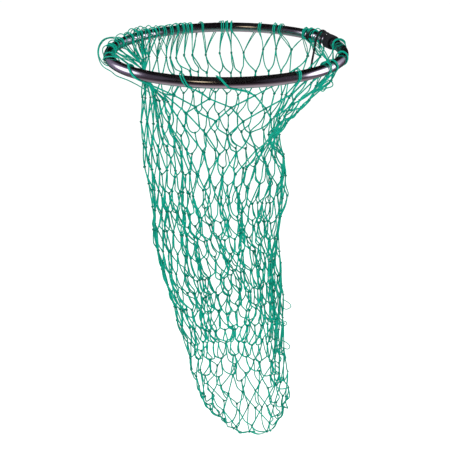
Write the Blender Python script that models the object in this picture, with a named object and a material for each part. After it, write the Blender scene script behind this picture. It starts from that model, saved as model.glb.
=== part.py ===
"""A knotted diamond-mesh fishing net, hung on a polished round steel hoop, with the black tie cord on the hoop.

Units are metres and +Z is up. The origin is on the centreline of the hoop's tube, at the middle of its back, where
something holds the hoop level. The hoop's centre is one hoop radius in front of it, along -Y. Run it with
blender --background --python part.py, or from Blender's text editor.
"""

import math

import bmesh
import bpy
from mathutils import Matrix, Vector

MM = 0.001

# Hoop: one round tube, bent to a ring and butt-welded.
HOOP_RADIUS = 205 * MM
TUBE_RADIUS = 9 * MM
HOOP_STEPS = 72
TUBE_SIDES = 16
HOOP_CENTRE = Vector((0.0, -HOOP_RADIUS, 0.0))

# Net: twine knotted in diamond meshes, a tube of COLUMNS meshes round with KNOT_ROWS rows of knots, its bottom laced
# flat. It is drawn at about one and a half times the twine's own pitch. The top meshes are threaded on the hoop.
COLUMNS = 22
KNOT_ROWS = 13
TWINE_WIDTH = 2.6 * MM
KNOT_WIDTH = 4.4 * MM
# Twine and knots are square in section, so each rim of a knot has this many corners.
TWINE_SIDES = 4
THREAD_GAP = 0.45 * MM
# The loop over the tube, as angles round the tube's section: 0 is away from the hoop's centre and 90 is the top.
LOOP_ANGLES = (-35, -5, 25, 55, 85, 115, 145, 175)

# Where the top meshes sit along the hoop: share of the net's round, angle on the hoop in degrees. The angle is
# anticlockwise from +X, seen from above. They are crowded at the back and left, and few at the front.
HOLD = (
    (0.000, 40.0),
    (0.094, 69.0),
    (0.220, 101.0),
    (0.410, 130.0),
    (0.656, 235.0),
    (0.750, 282.0),
    (0.812, 326.0),
    (1.000, 400.0),
)
# The even spread that the columns reach lower down starts this many columns on.
EVEN_START = 1.5
# The rows over which the columns pass from their places on the hoop to that spread.
SPREADING_ROWS = 4

# The rows of knots, top to bottom, one for each row. Places are from the hoop's centre, in millimetres.
# drop:   how far the row's two sides hang below the hoop
# sag:    how much further its middle hangs
# slope:  how much further its right side hangs, and how much less its left side does
# tilt:   how much further the back hangs than the sides, and how much less the front does
# x, y:   the row's centre, to the right and to the back
# width, depth: half the row's size, left to right and front to back
# crease: how far the front left wall is folded in
# bunch:  how far the columns are gathered at the right, 0 to 1
ROWS = (
    # drop, sag, slope, tilt, x, y, width, depth, crease, bunch
    (45, 0, 0, 17, 0, 0, 197, 197, 0, 0.00),
    (98, 0, 0, 24, -6, 13, 155, 171, 10, 0.02),
    (155, 6, 0, 27, -31, 22, 127, 141, 24, 0.05),
    (214, 14, 0, 20, -23, 20, 133, 116, 26, 0.08),
    (270, 28, 0, 11, -18, 11, 132, 101, 20, 0.12),
    (325, 43, 4, 4, -20, 2, 127, 91, 14, 0.17),
    (378, 61, 8, 0, -19, -2, 122, 85, 9, 0.22),
    (430, 80, 12, 0, -10, -4, 119, 79, 5, 0.27),
    (482, 98, 16, 0, 0, -4, 115, 72, 2, 0.32),
    (535, 117, 20, 0, 5, -3, 112, 63, 0, 0.36),
    (588, 134, 24, 0, 9, -2, 110, 50, 0, 0.40),
    (644, 148, 27, 0, 19, -1, 108, 33, 0, 0.42),
    (700, 158, 30, 0, 27, 0, 105, 8, 0, 0.42),
)
CREASE_ANGLE = 238.0
CREASE_SPREAD = 24.0
# A narrow row keeps its front and back walls apart by this power of the sine.
WALL_POWER = 0.55

# Tie: a black cord wound on the hoop and knotted, in the clear stretches between the net's loops.
TIE_RADIUS = 1.4 * MM
TIE_PITCH = 4.2 * MM
TIE_POINTS_PER_TURN = 12
TIE_START_ANGLE = 35.5
TIE_START_TURNS = 2.5
TIE_ANGLE = 15.5
TIE_TURNS = 6.5
KNOT_ANGLE = 24.0
# How finely the cord is drawn: rings round its section, steps between a route's points, and a knot lump's facets.
CORD_ROUNDNESS = 2
ROUTE_STEPS = 2
LUMP_SEGMENTS = 12
LUMP_RINGS = 8
WELD_WITHIN = 0.001 * MM
# The tie's knot: lumps of cord at places along, out from and above the tube's centreline, with their half sizes.
TIE_KNOT = (
    # along, out, up, half length, half width, half height
    (0, -3, 12.0, 5.0, 4.0, 3.2),
    (-3, -8, 10.0, 3.4, 3.8, 3.6),
    (3, 2, 12.6, 3.6, 4.2, 2.8),
)
# The short free end, from inside the knot, and the long one, hanging inside the hoop.
SHORT_END = (
    # along, out, up
    (-1.0, -9.0, 9.0),
    (-1.0, -12.4, 4.0),
    (-0.8, -13.8, -3.0),
    (-0.4, -14.8, -11.0),
)
LONG_END = (
    # along, out, up
    (5.7, -3.0, 12.0),
    (8.2, -4.4, 14.8),
    (11.0, -7.4, 13.6),
    (11.2, -10.8, 7.4),
    (10.6, -12.8, -1.0),
    (11.6, -14.6, -12.0),
    (13.2, -17.0, -23.0),
    (14.4, -19.2, -34.0),
    (14.8, -21.4, -43.5),
    (13.6, -23.4, -50.5),
    (10.6, -24.8, -54.2),
    (6.8, -25.6, -55.4),
)

COLOURS = {
    "polished_steel": ((0.62, 0.62, 0.64), 0.12, 1.0),
    "net_twine": ((0.0, 0.36, 0.22), 0.6, 0.0),
    "black_cord": ((0.012, 0.012, 0.016), 0.5, 0.0),
}


def clear_scene():
    for thing in list(bpy.data.objects):
        bpy.data.objects.remove(thing, do_unlink=True)


def make_material(name):
    colour, roughness, metallic = COLOURS[name]
    material = bpy.data.materials.new(name)
    material.use_nodes = True
    shader = material.node_tree.nodes["Principled BSDF"]
    shader.inputs["Base Color"].default_value = (*colour, 1.0)
    shader.inputs["Roughness"].default_value = roughness
    shader.inputs["Metallic"].default_value = metallic
    material.diffuse_color = (*colour, 1.0)
    return material


def between(table, at):
    """The table's second column at a value of its first."""
    for (low, a), (high, b) in zip(table, table[1:]):
        if at <= high:
            return a + (b - a) * (at - low) / (high - low)
    return table[-1][1]


def hold_angle(share):
    """The angle on the hoop of a point of the net's top edge, for any share of its round."""
    turns = math.floor(share)
    return between(HOLD, share - turns) + 360.0 * turns


def tube_frame(angle):
    """The tube's centre at an angle on the hoop, and its directions along and out, with up third."""
    turn = math.radians(angle)
    out = Vector((math.cos(turn), math.sin(turn), 0.0))
    along = Vector((-out.y, out.x, 0.0))
    return HOOP_CENTRE + out * HOOP_RADIUS, along, out, Vector((0.0, 0.0, 1.0))


def beside_tube(angle, along, out, up):
    """A point given in millimetres from the tube's centre at an angle on the hoop."""
    centre, a, o, u = tube_frame(angle)
    return centre + a * along * MM + o * out * MM + u * up * MM


def net_point(row, column):
    """The middle of a knot. Odd rows stand half a column on, as in any diamond mesh."""
    drop, sag, slope, tilt, x, y, width, depth, crease, bunch = ROWS[row]
    share = (column + 0.5 * (row % 2)) / COLUMNS
    even = 360.0 * share + 360.0 * EVEN_START / COLUMNS
    gathered = even - math.degrees(bunch * math.sin(math.radians(even)))
    freed = min(1.0, row / SPREADING_ROWS)
    angle = hold_angle(share) * (1.0 - freed) + gathered * freed
    across = math.cos(math.radians(angle))
    along = math.sin(math.radians(angle))
    lower = row / (KNOT_ROWS - 1)
    wall = math.copysign(abs(along) ** (1.0 - (1.0 - WALL_POWER) * lower), along)
    off_crease = (angle % 360.0 - CREASE_ANGLE) / CREASE_SPREAD
    inward = crease * math.exp(-off_crease * off_crease)
    return HOOP_CENTRE + MM * Vector(
        (
            x + (width - inward) * across,
            y + (depth - inward) * wall,
            -(drop + sag * abs(along) + slope * across + tilt * along),
        )
    )


def add_knot(mesh, middle, outward, upward, open_sides):
    """A knot as a small box turned on its corner. It returns the corners of each open side, by the side's name."""
    normal = outward.normalized()
    up = (upward - normal * upward.dot(normal)).normalized()
    right = up.cross(normal)
    turned = Matrix((right, up, normal)).transposed().to_4x4()
    place = Matrix.Translation(middle) @ turned @ Matrix.Rotation(math.radians(45), 4, "Z")
    box = Matrix.Diagonal((KNOT_WIDTH, KNOT_WIDTH, TWINE_WIDTH, 1.0))
    made = bmesh.ops.create_cube(mesh, size=1.0, matrix=place @ box)
    faces = {face for corner in made["verts"] for face in corner.link_faces}
    rims = {}
    removed = []
    for name, across, upwards in open_sides:
        way = (right * across + up * upwards).normalized()
        side = max(faces, key=lambda face: face.normal.dot(way))
        rims[name] = list(side.verts)
        removed.append(side)
    bmesh.ops.delete(mesh, geom=removed, context="FACES_ONLY")
    return rims


def middle_of(points):
    return sum(points, Vector()) / len(points)


def turned_to_fit(rim, corners):
    """The corners, which run the same way round as the rim, starting from the one that twists the twine least."""
    shift = middle_of(corners) - middle_of([corner.co for corner in rim])

    def twist(start):
        return sum((corners[(start + k) % TWINE_SIDES] - rim[k].co - shift).length for k in range(TWINE_SIDES))

    start = min(range(TWINE_SIDES), key=twist)
    return [corners[(start + k) % TWINE_SIDES] for k in range(TWINE_SIDES)]


def carry_on(mesh, rim, corners):
    """The twine carried on from a rim to four more corners, which become its next rim."""
    edges = [mesh.edges.get((rim[k], rim[(k + 1) % TWINE_SIDES])) for k in range(TWINE_SIDES)]
    made = bmesh.ops.extrude_edge_only(mesh, edges=edges)["geom"]
    fresh = [item for item in made if isinstance(item, bmesh.types.BMVert)]
    next_rim = [min(fresh, key=lambda corner, old=old: (corner.co - old.co).length) for old in rim]
    for corner, place in zip(next_rim, corners):
        corner.co = place
    return next_rim


def join_rims(mesh, first, second):
    """The twine carried on from one rim to another, which faces it and so runs the other way round."""
    places = {tuple(corner.co): corner for corner in second}
    corners = turned_to_fit(first, [corner.co.copy() for corner in reversed(second)])
    next_rim = carry_on(mesh, first, corners)
    met = {corner: places[tuple(corner.co)] for corner in next_rim}
    bmesh.ops.weld_verts(mesh, targetmap=met)


def square_at(mesh, rim, point, direction, side):
    """The twine carried on to a point, square to its direction there and with one face along the side."""
    forward = direction.normalized()
    across = (side - forward * side.dot(forward)).normalized() * TWINE_WIDTH / 2
    third = forward.cross(across)
    corners = [point + across + third, point - across + third, point - across - third, point + across - third]
    return carry_on(mesh, rim, turned_to_fit(rim, corners))


def add_top_loop(mesh, rise_rim, fall_rim, share):
    """The twine of one top mesh: up inside the hoop, over the tube and down outside it to the next knot."""
    angle = hold_angle(share)
    centre, along, out, up = tube_frame(angle)
    radius = TUBE_RADIUS + THREAD_GAP + TWINE_WIDTH / 2
    step = math.radians(LOOP_ANGLES[1] - LOOP_ANGLES[0]) / 2
    radius /= math.cos(step)
    rim = rise_rim
    for degrees in reversed(LOOP_ANGLES):
        turn = math.radians(degrees)
        ray = out * math.cos(turn) + up * math.sin(turn)
        way = out * math.sin(turn) - up * math.cos(turn)
        rim = square_at(mesh, rim, centre + ray * radius, way, along)
    join_rims(mesh, rim, fall_rim)


def knot_sides(row, column):
    """The open sides of a knot, where its strands leave: each side's name, and its way across and up."""
    sides = [("up_back", -1, 1), ("up_on", 1, 1)]
    if row < KNOT_ROWS - 1:
        return [*sides, ("down_back", -1, -1), ("down_on", 1, -1)]
    stitched = {end for stitch in bottom_lacing() for end in (stitch[:2], stitch[2:])}
    below = [("lace_back", -1, -1), ("lace_on", 1, -1)]
    return sides + [side for side in below if ((row, column), side[0]) in stitched]


def bottom_lacing():
    """The lacing's stitches, to and fro between the last row's front and back, as pairs of knots and their sides."""
    last = KNOT_ROWS - 1
    first_front = math.ceil(COLUMNS / 2 - EVEN_START)
    for step in range(COLUMNS // 2):
        front = (first_front + step) % COLUMNS
        back = (first_front - 1 - step) % COLUMNS
        yield (last, front), "lace_back", (last, back), "lace_on"
        if step + 1 < COLUMNS // 2:
            yield (last, back), "lace_back", (last, (front + 1) % COLUMNS), "lace_on"


def add_net():
    """The net as one solid: knots, the strands between them, the loops over the hoop and the laced bottom."""
    mesh = bmesh.new()
    rims = {}
    for row in range(KNOT_ROWS):
        centre = sum((net_point(row, column) for column in range(COLUMNS)), Vector()) / COLUMNS
        for column in range(COLUMNS):
            here = net_point(row, column)
            ahead = net_point(row, column + 1) - net_point(row, column - 1)
            shift = row % 2
            if row + 1 < KNOT_ROWS:
                below = (net_point(row + 1, column - 1 + shift) + net_point(row + 1, column + shift)) / 2
                upward = here - below
            else:
                above = (net_point(row - 1, column) + net_point(row - 1, column - 1)) / 2
                upward = above - here
            outward = ahead.cross(upward)
            if outward.dot(here - centre) < 0:
                outward.negate()
            rims[row, column] = add_knot(mesh, here, outward, upward, knot_sides(row, column))
    for row in range(KNOT_ROWS - 1):
        for column in range(COLUMNS):
            shift = row % 2
            back = (row + 1, (column - 1 + shift) % COLUMNS)
            on = (row + 1, (column + shift) % COLUMNS)
            join_rims(mesh, rims[row, column]["down_back"], rims[back]["up_on"])
            join_rims(mesh, rims[row, column]["down_on"], rims[on]["up_back"])
    for column in range(COLUMNS):
        next_knot = rims[0, (column + 1) % COLUMNS]
        add_top_loop(mesh, rims[0, column]["up_on"], next_knot["up_back"], (column + 0.5) / COLUMNS)
    for here, side, there, other_side in bottom_lacing():
        join_rims(mesh, rims[here][side], rims[there][other_side])
    return object_from(mesh, "net", "net_twine")


def object_from(mesh, name, material):
    bmesh.ops.recalc_face_normals(mesh, faces=mesh.faces)
    data = bpy.data.meshes.new(name)
    mesh.to_mesh(data)
    mesh.free()
    thing = bpy.data.objects.new(name, data)
    part_collection().objects.link(thing)
    data.materials.append(bpy.data.materials[material])
    return thing


def part_collection():
    name = "fishing_net_on_hoop"
    found = bpy.data.collections.get(name)
    if not found:
        found = bpy.data.collections.new(name)
        bpy.context.scene.collection.children.link(found)
    return found


def add_hoop():
    bpy.ops.mesh.primitive_torus_add(
        location=HOOP_CENTRE,
        major_segments=HOOP_STEPS,
        minor_segments=TUBE_SIDES,
        major_radius=HOOP_RADIUS,
        minor_radius=TUBE_RADIUS,
    )
    hoop = bpy.context.object
    hoop.name = "hoop"
    for collection in list(hoop.users_collection):
        collection.objects.unlink(hoop)
    part_collection().objects.link(hoop)
    hoop.data.shade_smooth()
    hoop.data.materials.append(bpy.data.materials["polished_steel"])
    return hoop


def smooth_route(points, steps):
    """Points on a smooth curve through the route's own points, with its two ends kept."""
    ends = [points[0] * 2 - points[1], *points, points[-1] * 2 - points[-2]]
    route = []
    for a, b, c, d in zip(ends, ends[1:], ends[2:], ends[3:]):
        for k in range(steps):
            t = k / steps
            route.append(
                0.5 * (2 * b + (c - a) * t + (2 * a - 5 * b + 4 * c - d) * t**2 + (3 * b - a - 3 * c + d) * t**3)
            )
    return [*route, points[-1]]


def cord_curve(name, points, radius):
    """A round cord along points, as a curve object with filled ends."""
    curve = bpy.data.curves.new(name, "CURVE")
    curve.dimensions = "3D"
    curve.bevel_depth = radius
    curve.bevel_resolution = CORD_ROUNDNESS
    curve.use_fill_caps = True
    spline = curve.splines.new("POLY")
    spline.points.add(len(points) - 1)
    for place, point in zip(spline.points, points):
        place.co = (*point, 1.0)
    thing = bpy.data.objects.new(name, curve)
    part_collection().objects.link(thing)
    curve.materials.append(bpy.data.materials["black_cord"])
    return thing


def solid_from_curve(thing):
    """The curve object made a closed mesh, so that it can be joined."""
    graph = bpy.context.evaluated_depsgraph_get()
    data = bpy.data.meshes.new_from_object(thing.evaluated_get(graph))
    mesh = bmesh.new()
    mesh.from_mesh(data)
    bmesh.ops.remove_doubles(mesh, verts=mesh.verts, dist=WELD_WITHIN)
    mesh.to_mesh(data)
    mesh.free()
    name = thing.name
    place = thing.matrix_world.copy()
    bpy.data.objects.remove(thing, do_unlink=True)
    solid = bpy.data.objects.new(name, data)
    solid.matrix_world = place
    part_collection().objects.link(solid)
    return solid


def turns_on_tube(start_angle, turns):
    """Points of a cord wound on the hoop's tube, one pitch along the hoop for each turn."""
    points = []
    radius = TUBE_RADIUS + THREAD_GAP + TIE_RADIUS
    count = int(turns * TIE_POINTS_PER_TURN)
    for k in range(count + 1):
        turn = k / TIE_POINTS_PER_TURN
        angle = start_angle + math.degrees(turn * TIE_PITCH / HOOP_RADIUS)
        centre, _, out, up = tube_frame(angle)
        round_tube = 2 * math.pi * turn - math.pi / 2
        points.append(centre + radius * (out * math.cos(round_tube) + up * math.sin(round_tube)))
    return points


def join_to(base, other):
    """The other object's shape joined to the base, and the other kept only as a hidden cutter."""
    union = base.modifiers.new(f"with {other.name}", "BOOLEAN")
    union.operation = "UNION"
    union.object = other
    other.hide_render = True
    other.display_type = "WIRE"


def add_tie():
    """The wound and knotted cord, with its short free end, as one solid."""
    tie = solid_from_curve(cord_curve("tie", turns_on_tube(TIE_ANGLE, TIE_TURNS), TIE_RADIUS))
    for number, (along, out, up, length, width, height) in enumerate(TIE_KNOT):
        lump_mesh = bmesh.new()
        bmesh.ops.create_uvsphere(lump_mesh, u_segments=LUMP_SEGMENTS, v_segments=LUMP_RINGS, radius=1.0)
        _, a, o, u = tube_frame(KNOT_ANGLE)
        turned = Matrix((a, o, u)).transposed().to_4x4()
        size = Matrix.Diagonal((length * MM, width * MM, height * MM, 1.0))
        place = Matrix.Translation(beside_tube(KNOT_ANGLE, along, out, up))
        lump_mesh.transform(place @ turned @ size)
        join_to(tie, object_from(lump_mesh, f"tie_knot_lump_{number}", "black_cord"))
    route = smooth_route([beside_tube(KNOT_ANGLE, *point) for point in SHORT_END], ROUTE_STEPS)
    join_to(tie, solid_from_curve(cord_curve("short_end", route, TIE_RADIUS)))
    return tie


def add_tie_start():
    """The cord's first turns, on the hoop's back, beyond the next loop of the net."""
    points = turns_on_tube(TIE_START_ANGLE, TIE_START_TURNS)
    return solid_from_curve(cord_curve("tie_start", points, TIE_RADIUS))


def add_long_end():
    """The cord's long free end, which hangs inside the hoop."""
    route = [beside_tube(KNOT_ANGLE, *point) for point in LONG_END]
    return cord_curve("tie_long_end", smooth_route(route, ROUTE_STEPS), TIE_RADIUS)


def main():
    clear_scene()
    for name in COLOURS:
        make_material(name)
    add_hoop()
    add_net()
    add_tie()
    add_tie_start()
    add_long_end()


main()
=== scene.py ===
"""A fishing net: a deep bag of knotted green twine on a polished steel hoop, with a black cord tied to it.

Lengths are in metres and +Z is up. Tables are in millimetres and degrees, from the hoop's centre. A place on
the hoop is an angle: 0 at its right, 90 at its back, 180 at its left and 270 at its front.
"""

import math

import bpy
import numpy as np
from mathutils import Matrix, Vector


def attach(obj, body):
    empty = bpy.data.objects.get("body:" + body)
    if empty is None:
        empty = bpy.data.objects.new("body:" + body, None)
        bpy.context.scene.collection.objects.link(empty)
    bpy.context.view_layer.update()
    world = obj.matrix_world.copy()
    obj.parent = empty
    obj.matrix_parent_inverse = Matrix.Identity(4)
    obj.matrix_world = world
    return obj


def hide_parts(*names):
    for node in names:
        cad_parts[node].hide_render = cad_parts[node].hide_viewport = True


bl_info = {
    "name": "Fishing Net on a Hoop",
    "version": (1, 0, 0),
    "blender": (4, 5, 0),
    "location": "3D View > Sidebar > Fishing Net",
    "description": "Makes a bag of knotted twine on a steel hoop, and the cord tied to the hoop",
    "category": "Add Mesh",
}

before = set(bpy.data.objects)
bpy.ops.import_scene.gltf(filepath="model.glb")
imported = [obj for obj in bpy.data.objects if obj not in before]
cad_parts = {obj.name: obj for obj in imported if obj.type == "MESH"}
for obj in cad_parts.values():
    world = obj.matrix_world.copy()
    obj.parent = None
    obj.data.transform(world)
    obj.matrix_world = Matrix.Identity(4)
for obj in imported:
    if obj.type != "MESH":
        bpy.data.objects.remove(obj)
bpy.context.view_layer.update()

MM = 0.001
TINY = 1e-9
LINE_STEPS = 4

# Hoop
HOOP_CENTRE = np.array((0.0, -0.205, 0.0))
HOOP_RADIUS = 205 * MM
TUBE_RADIUS = 9 * MM
HOOP_SEGMENTS = 192
TUBE_SEGMENTS = 40
WELD_ANGLE = 96.0
WELD_WIDTH = 3.2 * MM
WELD_RISE = 0.25 * MM
WELD_CUTS = (-1.0, -0.45, 0.0, 0.45, 1.0)
WELD_CUT_REACH = 4 * TUBE_RADIUS
WELD_REACH = 3 * TUBE_RADIUS
WELD_CROWN = 0.7 * WELD_WIDTH

# Stage
CAMERA_PLACE = (0.0, -1.609, 0.333)
CAMERA_PITCH = 25.59
CAMERA_YAW = 0.16
CAMERA_ROLL = 0.371
CAMERA_LENS = 64.0
CAMERA_SENSOR = 36.0

FLOOR_HEIGHT = -1.3
FLOOR_SIZE = 60.0
ROOM_COLOURS = (
    # height in the reflected room, from 0 below to 1 above, and its colour there
    (0.04, (0.56, 0.48, 0.52, 1)),
    (0.23, (0.10, 0.07, 0.09, 1)),
    (0.45, (0.004, 0.002, 0.003, 1)),
    (1.0, (0.002, 0.001, 0.002, 1)),
)
REFLECTED_LIGHTS = (
    # way to the light, degrees from its middle to its edge, degrees of its soft edge, colour
    ((-0.92, 0.27, 0.22), 12, 10, (2.00, 1.90, 2.00)),
    ((-0.82, 0.42, 0.10), 16, 26, (0.26, 0.21, 0.32)),
    ((-0.95, -0.15, 0.30), 14, 24, (0.075, 0.062, 0.085)),
    ((0.96, 0.16, 0.06), 17, 10, (2.10, 1.95, 2.10)),
    ((0.72, 0.58, 0.25), 8, 14, (0.40, 0.36, 0.46)),
    ((0.86, 0.25, 0.05), 16, 26, (0.26, 0.21, 0.30)),
    ((0.85, -0.45, 0.25), 16, 24, (0.042, 0.034, 0.050)),
    ((-0.37, -0.81, 0.44), 3, 8, (1.60, 1.30, 0.85)),
)
SOFT_LIGHTS = (
    # name, place, size, watts
    ("key", (-1.7, -2.3, 1.5), 1.1, 34.0),
    ("fill", (2.1, -1.8, 1.0), 1.2, 20.0),
    ("top", (0.3, 0.9, 2.4), 1.4, 22.0),
)
LIGHTS_AIM = (0, -0.2, -0.3)

# Details of the finishes against each piece's own colour and roughness, with painted shade and highlights
STEEL_LINES_DARKER = 0.86
STEEL_PATCHES_ROUGHER = 0.09
# The twine's grooves are darker: painted shade between the strands
TWINE_GROOVES_PAINTED_SHADE = 0.42
TWINE_WEAR = (0.78, 1.12)
TWINE_STRANDS = 3.0
TWINE_LAY = 150.0
# The braid's grooves are darker as painted shade, and its crowns lighter as a painted highlight
BRAID_GROOVES_PAINTED_SHADE = 0.4
BRAID_CROWNS_PAINTED_HIGHLIGHT = 1.2
BRAID_STRANDS = 6.0
BRAID_LAY = 130.0
FLOOR_MOTTLE_DARKER = 0.99

# Net: from the level HALVED down, each knot takes up two columns
COLUMNS = 32
LEVELS = 21
LAST = LEVELS - 1
HALVED = 14
TWINE_RADIUS = 1.34 * MM
TWINE_SIDES = 6
# The knots get a darker copy of the twine: painted shade in their tight turns
KNOT_PAINTED_SHADE = 0.62
BARS = np.array((
    # level, a bar's length, the most slack that it shows
    (0, 48, 0.05), (3, 48, 0.08), (6, 46, 0.08), (12, 46, 0.09), (14, 52, 0.12), (16, 57, 0.15),
    (20, 60, 0.22),
))

# How the knots hang: rounds of pulling on the bars, while each knot is held back to its place
ROUNDS = 500
PULL = 2.08
PUSH_APART = 0.3
TAUT = 0.97
CLOSEST_KNOTS = 20 * MM
HOLD = 0.03
PLACED_HOLD = 0.5
SETTLING = 0.8
SETTLING_HOLD = 0.2

# What is added to the net's seed for each of its random draws
BARS_SEED = 2
KNOTS_SEED = 5
LOOPS_SEED = 8
SHUT_SEED = 11

# How far the knots wander from their places: less at the top, at the bottom and where they crowd
WANDER = np.array((7, 7, 5)) * MM
BROAD_WANDER = 0.7
FINE_WANDER = 0.5
WANDER_LEVELS = 3
LAST_WANDER = 0.2
LEAST_ROOM = 0.2
ROOMY = 24 * MM

# How a bar curves: down out of its upper knot and into the lower one from its side
BAR_STEPS = 7
SLACK_CHANCE = (0.6, 1.4)
LEAVING_LEAN = 0.05
LEAN_SCATTER = 0.10
FABRIC_PULL = 0.45
WEIGHT_PULL = np.array((0, 0, -0.55))
LEAVING_SCATTER = 0.08
ARRIVING_TURN = 38
TURN_BY_SLACK = 230
TURN_SCATTER = 12
TURN_LIMITS = (20, 105)
ARRIVING_SCATTER = 0.10
CURVED_BY_SLACK = 30
LEAVING_REACH = 0.70
ARRIVING_REACH = 0.42
REACH_LIMITS = (0.05, 1.25)
REACH_ROUNDS = 18

# Knots
BIGHT_RADII = (1.9 * MM, 1.05 * MM)
BIGHT_STRETCH = (0.85, 1.15, 1.15)
ROUND_TURN_RADII = (2.1 * MM, 1.1 * MM)
ROUND_TURN_LEAN = 24
KNOT_SEGMENTS = (7, 4)
KNOT_TWIST = 0.35
KNOT_GROWTH = (0.9, 1.12)
SAME_PLACE_DECIMALS = 5
KNOT_MAP = ((0.0, 0.0), (0.004, 0.0), (0.004, 0.3), (0.0, 0.3))

# Lacing that closes the bottom
LACED = slice(3, 8)
SEAM_SAG = 8 * MM
SECOND_LACING = np.array((3, -3, 4)) * MM

# Where the knots hang: below the hoop at the top, then round the bag's sections, and the placed ones as given
TOP_KNOTS = (
    # knot's angle on the hoop, inward, down, angle where its loop to the next knot crosses the hoop
    (37.1, 9, 38, 41.5), (48.8, 12, 32, 58), (59.5, 11, 35, 61.5), (67.7, 11, 39, 70.5),
    (79.6, 11, 48, 87), (86.9, 10, 49, 89.5), (93.8, 10, 50, 92), (102.1, 10, 52, 103.5),
    (110.2, 10, 51, 110), (115.5, 11, 49, 112.5), (120.8, 12, 52, 115), (124.9, 13, 49, 118.5),
    (127.8, 14, 47, 122.5), (134.9, 16, 44, 127), (142.5, 19, 36, 133), (148.4, 28, 33, 138),
    (152.1, 31, 33, 144), (155.6, 34, 34, 152), (158.0, 35, 37, 163), (158.3, 37, 47, 176),
    (158.2, 40, 60, 204), (160.1, 48, 74, 220), (246.0, 3, 25, 250), (262.5, 2, 26, 266),
    (282.5, 1, 22, 303), (300.4, 1, 27, 322), (320.9, 15, 30, 327), (331.5, 6, 28, 343),
    (340.3, 12, 23, 370), (351.0, 19, 20, 389), (364.0, 24, 20, 396.5), (380.0, 20, 26, 401),
)

BAG_SECTIONS = np.array((
    # level, down, sag at front and back, slope, tilt to the back, middle to the right, middle to the back,
    # half width, half depth, how far the front's crease goes in
    (0, 24, 16, 11, 17, -1, 0, 159, 197, 0),
    (1, 58, 10, 6, 20, -1, 6, 161, 186, 4),
    (2, 98, 5, 3, 24, -7, 14, 155, 168, 11),
    (3, 138, 2, -1, 26, -23, 19, 138, 151, 20),
    (4, 174, 5, -9, 25, -31, 21, 129, 134, 25),
    (6, 256, 7, -16, 16, -19, 16, 132, 109, 23),
    (8, 331, 7, -12, 7, -21, 6, 129, 95, 17),
    (10, 410, 2, -13, 2, -13, 0, 118, 87, 11),
    (12, 490, 0, -17, 0, 4, -3, 109, 81, 6),
    (14, 570, 0, -23, 0, 10, -4, 108, 74, 3),
    (16, 652, 0, -30, 0, 21, -3, 98, 64, 0),
    (18, 730, 17, -38, 0, 42, -2, 87, 44, 0),
    (20, 793, 59, -37, 0, 66, -12, 67, 10, 0),
), float)

CREASE_ANGLE = 238.0
CREASE_SPREAD = 24.0
WALL_POWER = 0.55

LEFT_COLUMN = 14
SPREAD_LEVELS = (5, 8, 11, 14, 17, 20)
SPREAD = np.array((
    # for each of those levels, how far across the bag each column stands, from 1 at its right to -1 at its
    # left; the back's columns come first, from right to left, and then the front's, back to the right
    (1, 0.93, 0.82, 0.69, 0.54, 0.38, 0.21, 0.04, -0.13, -0.3, -0.47, -0.64, -0.79, -0.92, -1,
     -0.91, -0.81, -0.7, -0.59, -0.47, -0.36, -0.24, -0.1, 0.02, 0.16, 0.28, 0.42, 0.56, 0.7, 0.82, 0.93,
     0.98, 1),
    (1, 0.94, 0.84, 0.72, 0.58, 0.43, 0.27, 0.1, -0.07, -0.24, -0.42, -0.6, -0.77, -0.91, -1,
     -0.96, -0.92, -0.86, -0.77, -0.64, -0.5, -0.34, -0.16, 0.04, 0.24, 0.31, 0.37, 0.5, 0.66, 0.8, 0.92,
     0.98, 1),
    (1, 0.9, 0.85, 0.81, 0.76, 0.62, 0.42, 0.23, 0.07, -0.1, -0.28, -0.46, -0.64, -0.82, -1,
     -0.97, -0.94, -0.9, -0.82, -0.7, -0.56, -0.4, -0.22, -0.04, 0.14, 0.31, 0.47, 0.62, 0.73, 0.78, 0.83,
     0.92, 1),
    (0.97, 0.93, 0.85, 0.83, 0.8, 0.72, 0.57, 0.44, 0.28, 0.1, -0.1, -0.32, -0.57, -0.82, -1,
     -0.96, -0.8, -0.64, -0.55, -0.46, -0.37, -0.28, -0.18, -0.06, 0.06, 0.18, 0.29, 0.42, 0.62, 0.72, 0.82,
     0.9, 0.97),
    (0.98, 0.95, 0.89, 0.87, 0.84, 0.72, 0.5, 0.35, 0.18, 0, -0.2, -0.42, -0.65, -0.87, -1,
     -0.98, -0.95, -0.91, -0.83, -0.73, -0.6, -0.41, -0.24, -0.08, 0.07, 0.22, 0.36, 0.5, 0.66, 0.76, 0.86,
     0.93, 0.98),
    (0.84, 0.77, 0.7, 0.56, 0.36, 0.1, -0.22, -0.49, -0.72, -0.88, -0.96, -1, -1, -1, -1,
     -1, -1, -1, -1, -0.96, -0.88, -0.72, -0.49, -0.22, 0.1, 0.36, 0.56, 0.7, 0.77, 0.84, 0.89,
     0.91, 0.84),
))

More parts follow.
